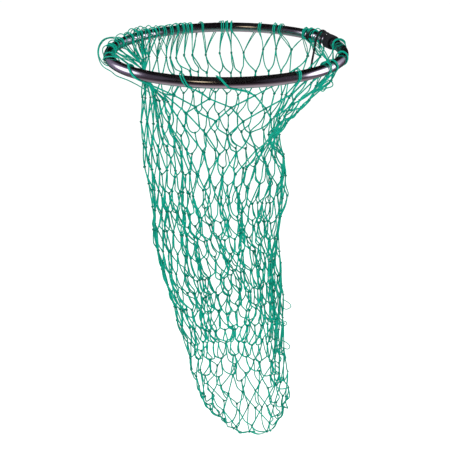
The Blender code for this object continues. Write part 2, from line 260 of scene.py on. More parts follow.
SEAM_KNOTS = np.array((
    # right, back and up, from the seam's left end to its right one
    (-37, -12, -776), (-21, -12, -794), (-4, -12, -814), (11, -12, -832), (41, -12, -856),
    (84, -12, -848), (110, -12, -804), (121, -12, -771), (128, -12, -742),
)) * MM
PLACED_KNOTS = {
    # level: each placed knot's column, right, back and up
    1: (
        (14, -162, 10, -65), (15, -153, -5, -64), (16, -146, -15, -58), (17, -138, -25, -62),
        (18, -132, -30, -55), (19, -125, -35, -63), (20, -119, -45, -67), (21, -105, -65, -65),
        (22, -48, -164, -52), (23, 6, -170, -51), (24, 64, -160, -58), (25, 114, -130, -57),
        (26, 137, -95, -63), (27, 144, -65, -63), (28, 152, -38, -62), (29, 146, -5, -62),
        (30, 140, 25, -71), (31, 130, 50, -78),
    ),
    2: (
        (14, -161, 5, -93), (15, -142, -25, -88), (16, -128, -45, -83), (17, -119, -52, -78),
        (18, -114, -60, -86), (19, -106, -68, -89), (20, -100, -75, -71), (21, -88, -99, -68),
        (22, -54, -130, -88), (23, -20, -142, -84), (24, 27, -141, -85), (25, 75, -120, -90),
        (26, 103, -95, -81), (27, 123, -65, -91), (28, 134, -38, -89), (29, 131, -5, -88),
        (30, 121, 22, -98), (31, 108, 45, -109),
    ),
    3: (
        (14, -159, 5, -135), (15, -143, -25, -127), (16, -129, -50, -122), (17, -121, -60, -110),
        (18, -112, -68, -122), (19, -102, -72, -104), (20, -97, -75, -119), (21, -83, -85, -99),
        (22, -32, -111, -121), (23, -1, -116, -118), (24, 39, -111, -112), (25, 79, -88, -118),
        (26, 94, -65, -109), (27, 107, -42, -111), (28, 106, -15, -132), (29, 108, 8, -118),
        (30, 98, 28, -132), (31, 86, 45, -144),
    ),
    4: (
        (14, -157, 0, -176), (15, -145, -28, -164), (16, -135, -48, -162), (17, -123, -60, -149),
        (18, -106, -72, -143), (19, -95, -80, -140), (20, -85, -85, -138), (21, -74, -88, -139),
        (22, -30, -93, -161), (23, -10, -100, -155), (24, 23, -100, -141), (25, 67, -82, -138),
        (26, 80, -58, -134), (27, 87, -38, -137), (28, 92, -16, -148), (29, 88, 6, -160),
        (30, 93, 22, -173), (31, 83, 40, -182),
    ),
    5: (
        (14, -156, 0, -222), (15, -138, -30, -212), (16, -121, -52, -199), (17, -106, -66, -202),
        (18, -90, -76, -194), (19, -76, -84, -198), (20, -62, -88, -201), (21, -47, -91, -205),
        (22, -30, -98, -205), (23, -13, -100, -204), (24, 2, -100, -206), (25, 23, -88, -201),
        (26, 45, -76, -191), (27, 65, -58, -183), (28, 86, -36, -182), (29, 104, -10, -188),
        (30, 108, 15, -207),
    ),
    6: (
        (21, -62, -75, -255), (22, -30, -85, -251), (23, -16, -90, -251), (24, 2, -90, -245),
        (25, 20, -85, -243), (26, 38, -76, -233), (27, 60, -62, -226), (28, 83, -42, -224),
        (29, 105, -15, -231), (30, 113, 10, -246),
    ),
    7: (
        (27, 64, -64, -265), (28, 86, -44, -265), (29, 106, -18, -273), (30, 116, 6, -281),
    ),
    8: (
        (28, 77, -52, -305), (29, 95, -26, -311), (30, 105, 4, -323),
    ),
    9: ((0, 102, 35, -361),),
    10: ((0, 103, 0, -397),),
    11: ((0, 109, 33, -436),),
    12: ((0, 112, 10, -473),),
    13: ((0, 116, 31, -511),),
    14: (
        (0, 118, 29, -548), (2, 95, 20, -541), (4, 91, 40, -543), (16, -66, -60, -578),
        (18, -49, -68, -565), (20, -28, -73, -563), (22, -3, -77, -558), (24, 22, -77, -559),
        (26, 48, -75, -568), (28, 79, -64, -575), (30, 97, -45, -586),
    ),
    15: (
        (0, 120, 36, -587), (2, 102, 18, -584), (4, 95, 36, -585), (14, -77, -41, -622),
        (16, -59, -58, -611), (18, -35, -65, -609), (20, -13, -70, -603), (22, 14, -72, -594),
        (24, 37, -71, -599), (26, 65, -65, -616), (28, 90, -54, -624), (30, 104, -38, -635),
    ),
    16: (
        (0, 120, 25, -623), (2, 105, 18, -634), (4, 101, 32, -628), (14, -76, -23, -668),
        (16, -66, -43, -668), (18, -46, -55, -649), (20, -18, -63, -652), (22, 11, -67, -640),
        (24, 35, -67, -637), (26, 63, -63, -637), (28, 87, -55, -656), (30, 108, -34, -673),
    ),
    17: (
        (0, 124, 28, -663), (2, 110, 16, -676), (4, 101, 28, -679), (12, -60, 18, -690),
        (14, -61, -26, -704), (16, -53, -37, -721), (18, -34, -48, -707), (20, 0, -55, -701),
        (22, 29, -56, -693), (24, 56, -55, -693), (26, 84, -50, -694), (28, 102, -41, -691),
        (30, 117, -28, -711),
    ),
    18: (
        (0, 130, 23, -702), (2, 116, 14, -722), (4, 110, 22, -720), (10, -15, 18, -737),
        (12, -47, 12, -722), (14, -51, -13, -746), (16, -47, -21, -753), (18, -37, -31, -760),
        (20, -12, -40, -759), (22, 23, -45, -758), (24, 56, -46, -742), (26, 85, -42, -748),
        (28, 102, -37, -739),
    ),
    19: (
        (8, 20, 14, -783), (10, -6, 12, -776), (12, -33, 8, -759), (14, -53, -10, -745),
        (16, -36, -17, -756), (18, -7, -26, -792), (20, 21, -32, -813), (22, 52, -34, -806),
        (24, 93, -33, -802), (26, 106, -29, -779), (28, 116, -26, -755),
    ),
}

# Fold down the front wall, where the meshes are drawn together
FOLD_LINE = np.array((
    # down, right, strength
    (115, -6, 0.0), (134, -1, 0.5), (172, 8, 0.8), (205, 15, 0.9), (244, 19, 1.0), (284, 22, 1.0),
    (325, 25, 1.0), (359, 32, 1.0), (389, 42, 1.0), (422, 53, 1.0), (455, 62, 0.8), (489, 68, 0.5),
    (530, 76, 0.0),
)) * (MM, MM, 1)
FOLD_REACH = 30 * MM
FOLD_PULL = 0.75
FRONT_FROM = 40 * MM

# Meshes that hang shut between the others, in the bag's small folds
SHUT_SHIFT = 0.3
SHUT_MESHES = (
    # column, first level, last level
    (1, 11, 17), (2, 6, 15), (5, 7, 15), (8, 6, 14), (11, 7, 15), (15, 5, 16), (17, 6, 15), (19, 5, 16),
    (21, 6, 15), (23, 5, 16), (25, 6, 15), (27, 7, 16), (29, 10, 17), (30, 12, 17), (31, 11, 16),
)

# Loops on the hoop
LOOP_LIFT = (0.4, 3.0)
LOOP_GAP = (1.6, 4.6)
LOOP_SLANT = 0.35
LOOP_BOW = 0.12
MOST_BOW = 3.5 * MM
LOOP_THINNER = 0.72
LOOP_TURNS = (200, 165, 130, 90, 50, 15, -15, -45)
LOOP_TOP = 90
LOOP_WANDER = 1.2 * MM
LOOSE_WANDER = 4 * MM
LOOSE_SLANT = 2

LOOSE_LOOPS = (
    # column of its top knot, angle where it crosses the hoop, slack over the hoop
    (12, 131, 4), (13, 136, 7), (14, 139, 5), (14, 142, 9), (15, 144, 5), (16, 145, 8), (17, 147, 6),
    (18, 149, 9), (17, 153, 5), (18, 160, 7), (18, 171, 4), (19, 184, 6), (20, 196, 3), (30, 8, 5),
    (31, 33, 6), (31, 38, 4),
)
STRAY_TWINE = (
    # right, back and up along each strand
    ((110, -20, -495), (118, -22, -499), (126, -24, -505), (127, -24, -512), (118, -22, -518),
     (108, -20, -512)),
    ((111, -20, -547), (118, -24, -546), (120, -24, -552), (112, -20, -562)),
    ((110, -20, -593), (120, -24, -596), (128, -26, -604), (124, -24, -613), (112, -20, -611)),
    ((169, -100, -25), (176, -104, -28), (176, -106, -34), (166, -108, -37), (154, -110, -40)),
    ((169, -100, -27), (161, -104, -31), (156, -106, -39), (161, -108, -42), (167, -108, -35)),
    ((173, -100, -30), (166, -106, -34), (164, -108, -40)),
    ((-192, 62, 8), (-201, 58, 13), (-213, 42, 16), (-221, 20, 15), (-224, -10, 8), (-219, -40, -1),
     (-208, -72, -7), (-191, -98, -9), (-180, -112, -13), (-160, -128, -16), (-143, -120, -28),
     (-127, -108, -43)),
    ((-196, 52, 8), (-206, 52, 13), (-217, 36, 14), (-223, 6, 9), (-219, -36, 2), (-207, -64, -5),
     (-195, -80, -5)),
)

# Black cord; each place on it is along the hoop, out from it and up, from the tube's centre at KNOT_PLACE
CORD_RADIUS = 2.1 * MM
CORD_SIDES = 12
CORD_CLEARANCE = 0.05 * MM
TURN_PITCH = 5.4 * MM
TURN_POINTS = 28
START_TURNS = (35.5, 2.2)
MAIN_TURNS = (16.6, 4.2)
KNOT_PLACE = 24.0
KNOT_ROUTE = (
    (2.5, 7.0, 8.6), (2.8, 2.7, 11.8), (2.0, -3.2, 13.3), (-1.6, -8.1, 12.2), (-4.6, -10.1, 9.8),
    (-4.4, -7.1, 12.4), (-0.6, -4.1, 15.2), (3.6, -3.6, 15.6), (4.6, -6.4, 13.1), (1.4, -9.8, 11.3),
    (-1.6, -11.3, 9.6),
)
SHORT_END = (
    (0.6, -5.3, 13.4), (-0.8, -8.5, 12.3), (-1.0, -12.1, 8.9), (-1.0, -13.7, 4.2), (-0.8, -14.6, -3.2),
    (-0.4, -15.7, -11.7),
)
LONG_END = (
    (6.4, -3.0, 16.2), (5.4, -7.6, 17.2), (4.2, -12.2, 16.6), (3.2, -16.4, 13.8), (2.6, -19.6, 9.0),
    (2.5, -21.6, 2.4), (3.2, -22.8, -6.5), (4.4, -23.8, -17.0), (5.6, -24.8, -27.0),
    (6.4, -26.0, -36.5), (6.2, -27.2, -44.6), (5.0, -28.4, -51.4),
)


# Sizes and colours that can be changed


class StageSettings(bpy.types.PropertyGroup):
    """The floor and the light."""

    floor_colour: bpy.props.FloatVectorProperty(
        name="Floor", description="Colour of the floor", subtype="COLOR", size=3, min=0, max=1,
        default=(0.97, 0.97, 0.97))
    light: bpy.props.FloatProperty(
        name="Light", description="Strength of the even light round the net", default=1.06, min=0, max=5)


class HoopSettings(bpy.types.PropertyGroup):
    """The steel hoop."""

    tube_radius: bpy.props.FloatProperty(
        name="Tube radius", description="Half of the tube's thickness", default=TUBE_RADIUS, unit="LENGTH")
    steel_colour: bpy.props.FloatVectorProperty(
        name="Steel", description="Colour of the polished steel", subtype="COLOR", size=3, min=0, max=1,
        default=(0.62, 0.61, 0.64))
    steel_roughness: bpy.props.FloatProperty(
        name="Roughness", description="How dull the polish is", default=0.11, min=0, max=1)


class NetSettings(bpy.types.PropertyGroup):
    """The knotted bag."""

    twine_radius: bpy.props.FloatProperty(
        name="Twine radius", description="Half of the twine's thickness", default=TWINE_RADIUS, unit="LENGTH")
    knot_size: bpy.props.FloatProperty(
        name="Knot size", description="Size of a knot against its usual one", default=1.0, min=0.5, max=2)
    twine_colour: bpy.props.FloatVectorProperty(
        name="Twine", description="Colour of the twine", subtype="COLOR", size=3, min=0, max=1,
        default=(0.0, 0.40, 0.28))
    seed: bpy.props.IntProperty(name="Seed", description="Chooses how the meshes wander", default=3, min=0)


class CordSettings(bpy.types.PropertyGroup):
    """The black cord."""

    cord_radius: bpy.props.FloatProperty(
        name="Cord radius", description="Half of the cord's thickness", default=CORD_RADIUS, unit="LENGTH")
    cord_colour: bpy.props.FloatVectorProperty(
        name="Cord", description="Colour of the cord", subtype="COLOR", size=3, min=0, max=1,
        default=(0.010, 0.009, 0.012))


# Places


def on_hoop(angle):
    """The tube's centre at an angle on the hoop, and the ways along the hoop, out from it and up."""
    turn = math.radians(angle)
    out = np.array((math.cos(turn), math.sin(turn), 0.0))
    along = np.array((-math.sin(turn), math.cos(turn), 0.0))
    return HOOP_CENTRE + HOOP_RADIUS * out, along, out, np.array((0.0, 0.0, 1.0))


def beside_tube(angle, along_mm, out_mm, up_mm):
    """A place beside the tube, from its centre at that angle."""
    centre, along, out, up = on_hoop(angle)
    return centre + (along * along_mm + out * out_mm + up * up_mm) * MM


def smooth_line(points):
    """A smooth line through points, with LINE_STEPS stretches between each two."""
    points = np.asarray(points, float)
    padded = np.vstack((2 * points[0] - points[1], points, 2 * points[-1] - points[-2]))
    line = []
    for k in range(1, len(padded) - 2):
        before, start, end, after = padded[k - 1 : k + 3]
        for step in range(LINE_STEPS):
            t = step / LINE_STEPS
            line.append(
                0.5 * (2 * start + (end - before) * t + (2 * before - 5 * start + 4 * end - after) * t * t
                       + (3 * start - before - 3 * end + after) * t ** 3))
    line.append(points[-1])
    return np.array(line)


# Meshes


class CordMesh:
    """Round cords gathered into one mesh. Its map has metres along the cord in U and once round it in V."""

    def __init__(self):
        self.points = []
        self.faces = []
        self.map = []

    def add(self, line, radius, sides):
        """Adds one cord along a line, closed at both ends."""
        line = np.asarray(line, float)
        ahead = np.gradient(line, axis=0)
        ahead /= np.linalg.norm(ahead, axis=1, keepdims=True)
        side = np.cross(ahead[0], np.eye(3)[np.argmin(abs(ahead[0]))])
        turns = 2 * np.pi * np.arange(sides) / sides
        first = sum(len(ring) for ring in self.points)
        for point, way in zip(line, ahead):
            side = side - way * (side @ way)
            side /= np.linalg.norm(side)
            ring = np.outer(np.cos(turns), side) + np.outer(np.sin(turns), np.cross(way, side))
            self.points.append(point + radius * ring)
        travel = np.concatenate(((0.0,), np.cumsum(np.linalg.norm(np.diff(line, axis=0), axis=1))))
        for k in range(len(line) - 1):
            near = first + k * sides
            far = near + sides
            for j in range(sides):
                after = (j + 1) % sides
                self.faces.append((near + j, near + after, far + after, far + j))
                low, high = j / sides, (j + 1) / sides
                self.map += [(travel[k], low), (travel[k], high), (travel[k + 1], high), (travel[k + 1], low)]
        last = first + (len(line) - 1) * sides
        self.faces.append(tuple(range(first + sides - 1, first - 1, -1)))
        self.map += [(0.0, 0.0)] * sides
        self.faces.append(tuple(range(last, last + sides)))
        self.map += [(travel[-1], 0.0)] * sides

    def make(self, name, material):
        """Makes the object."""
        return new_object(name, np.vstack(self.points), self.faces, self.map, material)


def new_object(name, points, faces, face_map, material):
    """A smooth mesh object at the origin, from its points, faces and the map of each face's corners."""
    mesh = bpy.data.meshes.new(name)
    mesh.from_pydata([tuple(point) for point in points], [], faces)
    layer = mesh.uv_layers.new(name="UVMap")
    layer.data.foreach_set("uv", np.asarray(face_map, np.float32).ravel())
    mesh.polygons.foreach_set("use_smooth", np.ones(len(mesh.polygons), bool))
    mesh.materials.append(material)
    mesh.update()
    made = bpy.data.objects.new(name, mesh)
    bpy.context.scene.collection.objects.link(made)
    return made


def nothing_selected():
    """Leaves edit mode and deselects everything."""
    if bpy.context.object and bpy.context.object.mode != "OBJECT":
        bpy.ops.object.mode_set(mode="OBJECT")
    bpy.ops.object.select_all(action="DESELECT")


# Materials


def fill_sockets(tree, node, sockets):
    """Gives each of a node's sockets a value or another node's output."""
    for name, value in sockets.items():
        if isinstance(value, bpy.types.NodeSocket):
            tree.links.new(value, node.inputs[name])
        else:
            node.inputs[name].default_value = value


def add_node(tree, kind, sockets, **settings):
    """Adds a shader node, sets it up and fills its sockets."""
    made = tree.nodes.new("ShaderNode" + kind)
    for name, value in settings.items():
        setattr(made, name, value)
    fill_sockets(tree, made, sockets)
    return made


def maths(tree, operation, *values):
    """The result of a Math node."""
    return add_node(tree, "Math", dict(enumerate(values)), operation=operation).outputs[0]


def vector_maths(tree, operation, *values):
    """The result of a Vector Math node."""
    return add_node(tree, "VectorMath", dict(enumerate(values)), operation=operation).outputs[0]


def noise_on(tree, coordinates, scale, detail):
    """Noise on a piece's Object coordinates."""
    return add_node(tree, "TexNoise", {
        "Vector": coordinates.outputs["Object"], "Scale": scale, "Detail": detail}).outputs["Fac"]


def spread_value(tree, value, given, wanted):
    """A value whose given range is spread over the wanted one."""
    return add_node(tree, "MapRange", {
        "Value": value, "From Min": given[0], "From Max": given[1],
        "To Min": wanted[0], "To Max": wanted[1]}).outputs[0]


def mixed(tree, share, first, second):
    """A colour between two, at a share of the way."""
    return add_node(tree, "MixRGB", {"Fac": share, "Color1": first, "Color2": second}).outputs[0]


def bumped(tree, height, strength, depth):
    """Normals raised by a height."""
    return add_node(tree, "Bump", {"Height": height, "Strength": strength, "Distance": depth}).outputs[0]


def shade(colour, times):
    """A colour made lighter or darker."""
    return (*(part * times for part in colour), 1)


def new_material(name):
    """A material with its tree, its shader and its coordinates."""
    material = bpy.data.materials.new(name)
    material.use_nodes = True
    tree = material.node_tree
    return material, tree, tree.nodes["Principled BSDF"], add_node(tree, "TexCoord", {})


def cord_lay_group():
    """Node group: the rounded strands of a laid or braided cord, 1 on their crowns and 0 in the grooves."""
    group = bpy.data.node_groups.get("Cord lay")
    if group:
        return group
    group = bpy.data.node_groups.new("Cord lay", "ShaderNodeTree")
    group.interface.new_socket("Map", in_out="INPUT", socket_type="NodeSocketVector")
    group.interface.new_socket("Strands", in_out="INPUT", socket_type="NodeSocketFloat")
    group.interface.new_socket("Turns per metre", in_out="INPUT", socket_type="NodeSocketFloat")
    group.interface.new_socket("Height", in_out="OUTPUT", socket_type="NodeSocketFloat")
    given = group.nodes.new("NodeGroupInput").outputs
    result = group.nodes.new("NodeGroupOutput")
    place = add_node(group, "SeparateXYZ", {"Vector": given["Map"]}).outputs
    advance = maths(group, "MULTIPLY", place["X"], given["Turns per metre"])
    lean = maths(group, "ADD", place["Y"], advance)
    phase = maths(group, "MULTIPLY", lean, given["Strands"])
    wave = maths(group, "SINE", maths(group, "MULTIPLY", phase, math.pi))
    group.links.new(maths(group, "ABSOLUTE", wave), result.inputs["Height"])
    return group


def lay_of(tree, coordinates, strands, turns_per_metre):
    """The height of a cord's strands, from a Cord lay node."""
    return add_node(tree, "Group", {
        "Map": coordinates.outputs["UV"], "Strands": strands, "Turns per metre": turns_per_metre,
    }, node_tree=cord_lay_group()).outputs["Height"]


def polished_steel():
    """Polished steel tube with fine drawing lines along it and faint dull patches."""
    settings = bpy.context.scene.net_hoop
    material, tree, shader, coordinates = new_material("polished_steel")
    along = add_node(tree, "Mapping", {"Vector": coordinates.outputs["UV"], "Scale": (6, 160, 1)}).outputs[0]
    lines = add_node(tree, "TexNoise", {"Vector": along, "Scale": 1.0, "Detail": 5.0}).outputs["Fac"]
    patches = noise_on(tree, coordinates, scale=26.0, detail=4.0)
    smooth, colour = settings.steel_roughness, settings.steel_colour
    dullness = (smooth, smooth + STEEL_PATCHES_ROUGHER)
    fill_sockets(tree, shader, {
        "Base Color": mixed(tree, lines, shade(colour, 1), shade(colour, STEEL_LINES_DARKER)),
        "Roughness": spread_value(tree, patches, given=(0.4, 0.75), wanted=dullness),
        "Normal": bumped(tree, lines, strength=0.05, depth=0.4 * MM),
        "Metallic": 1.0,
    })
    return material


def laid_twine(name, darker):
    """Green twine of three laid strands, with painted shade in the grooves and fine fibres."""
    full = [part * darker for part in bpy.context.scene.net_bag.twine_colour]
    material, tree, shader, coordinates = new_material(name)
    lay = lay_of(tree, coordinates, TWINE_STRANDS, TWINE_LAY)
    fibres = noise_on(tree, coordinates, scale=2600.0, detail=2.0)
    patches = noise_on(tree, coordinates, scale=30.0, detail=3.0)
    # Darker grooves: painted shade between the laid strands
    strands = mixed(tree, lay, shade(full, TWINE_GROOVES_PAINTED_SHADE), shade(full, 1))
    wear = spread_value(tree, patches, given=(0.3, 0.7), wanted=TWINE_WEAR)
    fill_sockets(tree, shader, {
        "Base Color": vector_maths(tree, "MULTIPLY", strands, wear),
        "Roughness": 0.5,
        "Specular IOR Level": 0.12,
        "Normal": bumped(tree, maths(tree, "ADD", lay, fibres), strength=0.5, depth=0.3 * MM),
    })
    return material


def braided_cord():
    """Black braided cord of crossing strands: painted shade in its grooves, painted highlights on its crowns,
    a faint sheen.
    """
    made = bpy.data.materials.get("black_cord")
    if made:
        return made
    colour = bpy.context.scene.net_cord.cord_colour
    material, tree, shader, coordinates = new_material("black_cord")
    left = lay_of(tree, coordinates, BRAID_STRANDS, BRAID_LAY)
    right = lay_of(tree, coordinates, BRAID_STRANDS, -BRAID_LAY)
    braid = maths(tree, "MULTIPLY", left, right)
    # Colour: painted shade in the braid's grooves and a painted highlight on its crowns
    fill_sockets(tree, shader, {
        "Base Color": mixed(
            tree, braid, shade(colour, BRAID_GROOVES_PAINTED_SHADE), shade(colour, BRAID_CROWNS_PAINTED_HIGHLIGHT)),
        "Roughness": 0.5,
        "Specular IOR Level": 0.3,
        "Sheen Weight": 0.05,
        "Normal": bumped(tree, braid, strength=0.6, depth=0.3 * MM),
    })
    return material


def pale_floor():
    """Pale matt floor with a very faint mottle."""
    colour = bpy.context.scene.net_stage.floor_colour
    material, tree, shader, coordinates = new_material("pale_floor")
    mottle = noise_on(tree, coordinates, scale=3.0, detail=3.0)
    fill_sockets(tree, shader, {
        "Base Color": mixed(tree, mottle, shade(colour, 1), shade(colour, FLOOR_MOTTLE_DARKER)),
        "Roughness": 0.9,
        "Specular IOR Level": 0.0,
    })
    return material


# How the net hangs


def share_of(level, column):
    """A knot's place round the bag, as a share of the way."""
    if level < HALVED:
        return (column + 0.5 * (level % 2)) / COLUMNS
    return (column // 2 * 2 + 0.5 + level % 2) / COLUMNS


def section_at(level):
    """The bag's section at a level of knots, in the table's order."""
    return [np.interp(level, BAG_SECTIONS[:, 0], column) for column in BAG_SECTIONS[:, 1:].T]


def angle_of_mesh(level, share):
    """A knot's angle round the bag: below its own top knot at the top, and as SPREAD says lower down."""
    tops = [knot[0] for knot in TOP_KNOTS]
    around = [tops[-1] - 360, *tops, tops[0] + 360, tops[1] + 360]
    top = np.interp(share * COLUMNS, np.arange(-1, COLUMNS + 2), around)
    place = share * COLUMNS % COLUMNS
    by_level = [math.degrees(math.acos(np.interp(place, range(COLUMNS + 1), across))) for across in SPREAD]
    low = np.interp(level, SPREAD_LEVELS, by_level)
    if place > LEFT_COLUMN:
        low = 360 - low
    low += 360 * math.floor(share)
    freed = min(1.0, level / SPREAD_LEVELS[0])
    return top * (1 - freed) + low * freed


def on_bag(level, share):
    """A point of the bag at a level, a share of the way round its meshes."""
    drop, sag, slope, tilt, right, back, width, depth, crease = section_at(level)
    angle = angle_of_mesh(level, share)
    across, along = math.cos(math.radians(angle)), math.sin(math.radians(angle))
    wall = math.copysign(abs(along) ** (1 - (1 - WALL_POWER) * level / LAST), along)
    off = ((angle - CREASE_ANGLE + 180) % 360 - 180) / CREASE_SPREAD
    inward = crease * math.exp(-off * off)
    down = drop + sag * abs(along) + slope * across + tilt * along
    return np.array((right + (width - inward) * across, back + (depth - inward) * wall, -down)) * MM


def wander(seed, rounds):
    """Seeded wander of the knots, smoothed round the bag and down it."""
    noise = np.random.default_rng(seed).normal(size=(LEVELS, COLUMNS, 3))
    for _ in range(rounds):
        noise = noise + 0.5 * (np.roll(noise, 1, 1) + np.roll(noise, -1, 1))
        noise[1:-1] = noise[:-2] + 2 * noise[1:-1] + noise[2:]
    return noise / noise.std(axis=(0, 1))


def bars_of_net():
    """Each bar of twine: its upper knot's level and column, its lower knot's, and the side it leans to."""
    bars = []
    for level in range(LAST):
        shift = level % 2
        wide = 1 if level < HALVED else 2
        for column in range(0, COLUMNS, wide):
            for side, lower in ((-1, column + (shift - 1) * wide), (1, column + shift * wide)):
                lower %= COLUMNS
                if level + 1 >= HALVED:
                    lower -= lower % 2
                bars.append((level, column, level + 1, lower, side))
    return np.array(bars)


def bars_at(bars, value):
    """A value of the table of bars for each bar, by its level."""
    return np.interp(bars[:, 0], BARS[:, 0], BARS[:, value])


def seam_pairs():
    """The front and back columns that the bottom lacing draws together, from the left to the right."""
    front = [(LEFT_COLUMN + 2 * k) % COLUMNS for k in range(len(SEAM_KNOTS))]
    back = [(LEFT_COLUMN - 2 * k) % COLUMNS for k in range(len(SEAM_KNOTS))]
    return front, back


def fill_pairs(values):
    """Gives the second column of each knot that takes up two columns the first one's value."""
    values[HALVED:, 1::2] = values[HALVED:, 0::2]


def drawn_to_fold(goal):
    """How far each knot of the front wall is drawn sideways to the fold down it."""
    down = -goal[..., 2]
    away = np.interp(down, FOLD_LINE[:, 0], FOLD_LINE[:, 1]) - goal[..., 0]
    strength = np.interp(down, FOLD_LINE[:, 0], FOLD_LINE[:, 2]) * np.clip(-goal[..., 1] / FRONT_FROM, 0, 1)
    return FOLD_PULL * strength * away * np.exp(-(away / FOLD_REACH) ** 2)


def hang_knots(seed):
    """Where each knot hangs: each is drawn to its place on the bag, and no bar is longer than its twine."""
    goal = np.array([[on_bag(level, share_of(level, column)) for column in range(COLUMNS)]
                     for level in range(LEVELS)])
    loose = np.minimum(1, np.arange(LEVELS) / WANDER_LEVELS)
    loose[LAST] = LAST_WANDER
    room = np.linalg.norm(np.roll(goal, -1, 1) - np.roll(goal, 1, 1), axis=2) / 2 / ROOMY
    room = np.clip(room, LEAST_ROOM, 1.0) * loose[:, None]
    goal += (BROAD_WANDER * wander(seed, 1) + FINE_WANDER * wander(seed + 1, 0)) * WANDER * room[..., None]
    goal[..., 0] += drawn_to_fold(goal)
    for column, (angle, inward, down, _) in enumerate(TOP_KNOTS):
        turn = math.radians(angle)
        radius = HOOP_RADIUS - inward * MM
        goal[0, column] = (radius * math.cos(turn), radius * math.sin(turn), -down * MM)
    hold = np.full((LEVELS, COLUMNS), HOLD)
    for level, placed in PLACED_KNOTS.items():
        for column, *point in placed:
            goal[level, column] = np.array(point) * MM
            hold[level, column] = PLACED_HOLD
    front, back = seam_pairs()
    hold[LAST, front + back] = PLACED_HOLD
    goal[LAST, front] = goal[LAST, back] = SEAM_KNOTS
    bars = bars_of_net()
    taut = TAUT * bars_at(bars, 1) * MM
    upper, lower = (bars[:, 0], bars[:, 1]), (bars[:, 2], bars[:, 3])
    count = np.zeros((LEVELS, COLUMNS))
    np.add.at(count, upper, 1)
    np.add.at(count, lower, 1)
    count = np.maximum(count, 1)
    fill_pairs(goal)
    knots = goal.copy()
    for step in range(ROUNDS):
        span = knots[lower] - knots[upper]
        length = np.linalg.norm(span, axis=1)
        pull = np.where(length > taut, (length - taut) / length, 0.0)
        push = np.where(length < CLOSEST_KNOTS, (length - CLOSEST_KNOTS) / length, 0.0) * PUSH_APART
        move = span * (pull + push)[:, None] * 0.5
        shift = np.zeros_like(knots)
        np.add.at(shift, upper, move)
        np.add.at(shift, lower, -move)
        knots += PULL * shift / count[..., None]
        ease = 1.0 if step < ROUNDS * SETTLING else SETTLING_HOLD
        knots += (goal - knots) * (hold * ease)[..., None]
        knots[0] = goal[0]
        knots[LAST, front] = knots[LAST, back] = (knots[LAST, front] + knots[LAST, back]) / 2
        fill_pairs(knots)
    return knots


def hang_shut_meshes(knots):
    """The knots and bars of the meshes that hang shut: one below the other, from knot to knot of the bag."""
    between = knots.copy()
    for level in range(LEVELS):
        if level < HALVED:
            wide, start = 1, 0.5 * (level % 2)
        else:
            wide, start = 2, 0.5 + level % 2
        place = (np.arange(COLUMNS) + SHUT_SHIFT - start) / wide
        left = np.floor(place).astype(int)
        part = (place - left)[:, None]
        left, right = left * wide % COLUMNS, (left + 1) * wide % COLUMNS
        between[level] = (1 - part) * knots[level, left] + part * knots[level, right]
    bars = []
    for column, first, last in SHUT_MESHES:
        between[(first, last), column] = knots[(first, last), column]
        bars += [(level, column, level + 1, column, side) for level in range(first, last) for side in (-1, 1)]
    return between, np.array(bars)


def ways_at_knots(knots, bars):
    """The fabric's way down and its way round at each knot."""
    upper, lower = (bars[:, 0], bars[:, 1]), (bars[:, 2], bars[:, 3])
    span = knots[lower] - knots[upper]
    down = np.zeros_like(knots)
    np.add.at(down, upper, span)
    np.add.at(down, lower, span)
    fill_pairs(down)
    down /= np.linalg.norm(down, axis=2, keepdims=True) + TINY
    around = np.roll(knots, -2, 1) - np.roll(knots, 2, 1)
    around[:HALVED] = (np.roll(knots, -1, 1) - np.roll(knots, 1, 1))[:HALVED]
    around -= down * (around * down).sum(2, keepdims=True)
    around /= np.linalg.norm(around, axis=2, keepdims=True) + TINY
    return down, around


def hang_bars(knots, bars, seed):
    """The line of each bar: down out of its upper knot and into the lower one from its side, one bar long."""
    chance = np.random.default_rng(seed)
    down, around = ways_at_knots(knots, bars)
    start, end = knots[bars[:, 0], bars[:, 1]], knots[bars[:, 2], bars[:, 3]]
    down_start, down_end = down[bars[:, 0], bars[:, 1]], down[bars[:, 2], bars[:, 3]]
    side_start = around[bars[:, 0], bars[:, 1]] * bars[:, 4:]
    side_end = around[bars[:, 2], bars[:, 3]] * bars[:, 4:]
    count = len(bars)
    chord = np.linalg.norm(end - start, axis=1)
    straight = (end - start) / chord[:, None]
    slack = bars_at(bars, 2) * chance.uniform(*SLACK_CHANCE, size=count)
    slack = np.clip(bars_at(bars, 1) * MM / chord - 1, 0, slack)
    length = chord * (1 + slack)
    lean = (LEAVING_LEAN + LEAN_SCATTER * chance.normal(size=count))[:, None]
    leave = down_start * FABRIC_PULL + WEIGHT_PULL + side_start * lean
    leave += LEAVING_SCATTER * chance.normal(size=(count, 3))
    leave /= np.linalg.norm(leave, axis=1, keepdims=True)
    turn = ARRIVING_TURN + TURN_BY_SLACK * slack + TURN_SCATTER * chance.normal(size=count)
    turn = np.radians(np.clip(turn, *TURN_LIMITS))[:, None]
    arrive = -down_end * np.cos(turn) - side_end * np.sin(turn)
    arrive += ARRIVING_SCATTER * chance.normal(size=(count, 3))
    arrive /= np.linalg.norm(arrive, axis=1, keepdims=True)
    curved = np.clip(slack * CURVED_BY_SLACK, 0, 1)[:, None]
    leave = leave * curved + straight * (1 - curved)
    arrive = arrive * curved - straight * (1 - curved)
    t = np.linspace(0, 1, BAR_STEPS + 1)[None, :, None]

    def lines(reach):
        first = start + leave * (reach * chord)[:, None] * LEAVING_REACH
        second = end + arrive * (reach * chord)[:, None] * ARRIVING_REACH
        return ((1 - t) ** 3 * start[:, None] + 3 * (1 - t) ** 2 * t * first[:, None]
                + 3 * (1 - t) * t * t * second[:, None] + t ** 3 * end[:, None])

    shortest, longest = np.full(count, REACH_LIMITS[0]), np.full(count, REACH_LIMITS[1])
    for _ in range(REACH_ROUNDS):
        middle = (shortest + longest) / 2
        too_long = np.linalg.norm(np.diff(lines(middle), axis=1), axis=2).sum(1) > length
        longest = np.where(too_long, middle, longest)
        shortest = np.where(too_long, shortest, middle)
    return lines((shortest + longest) / 2)


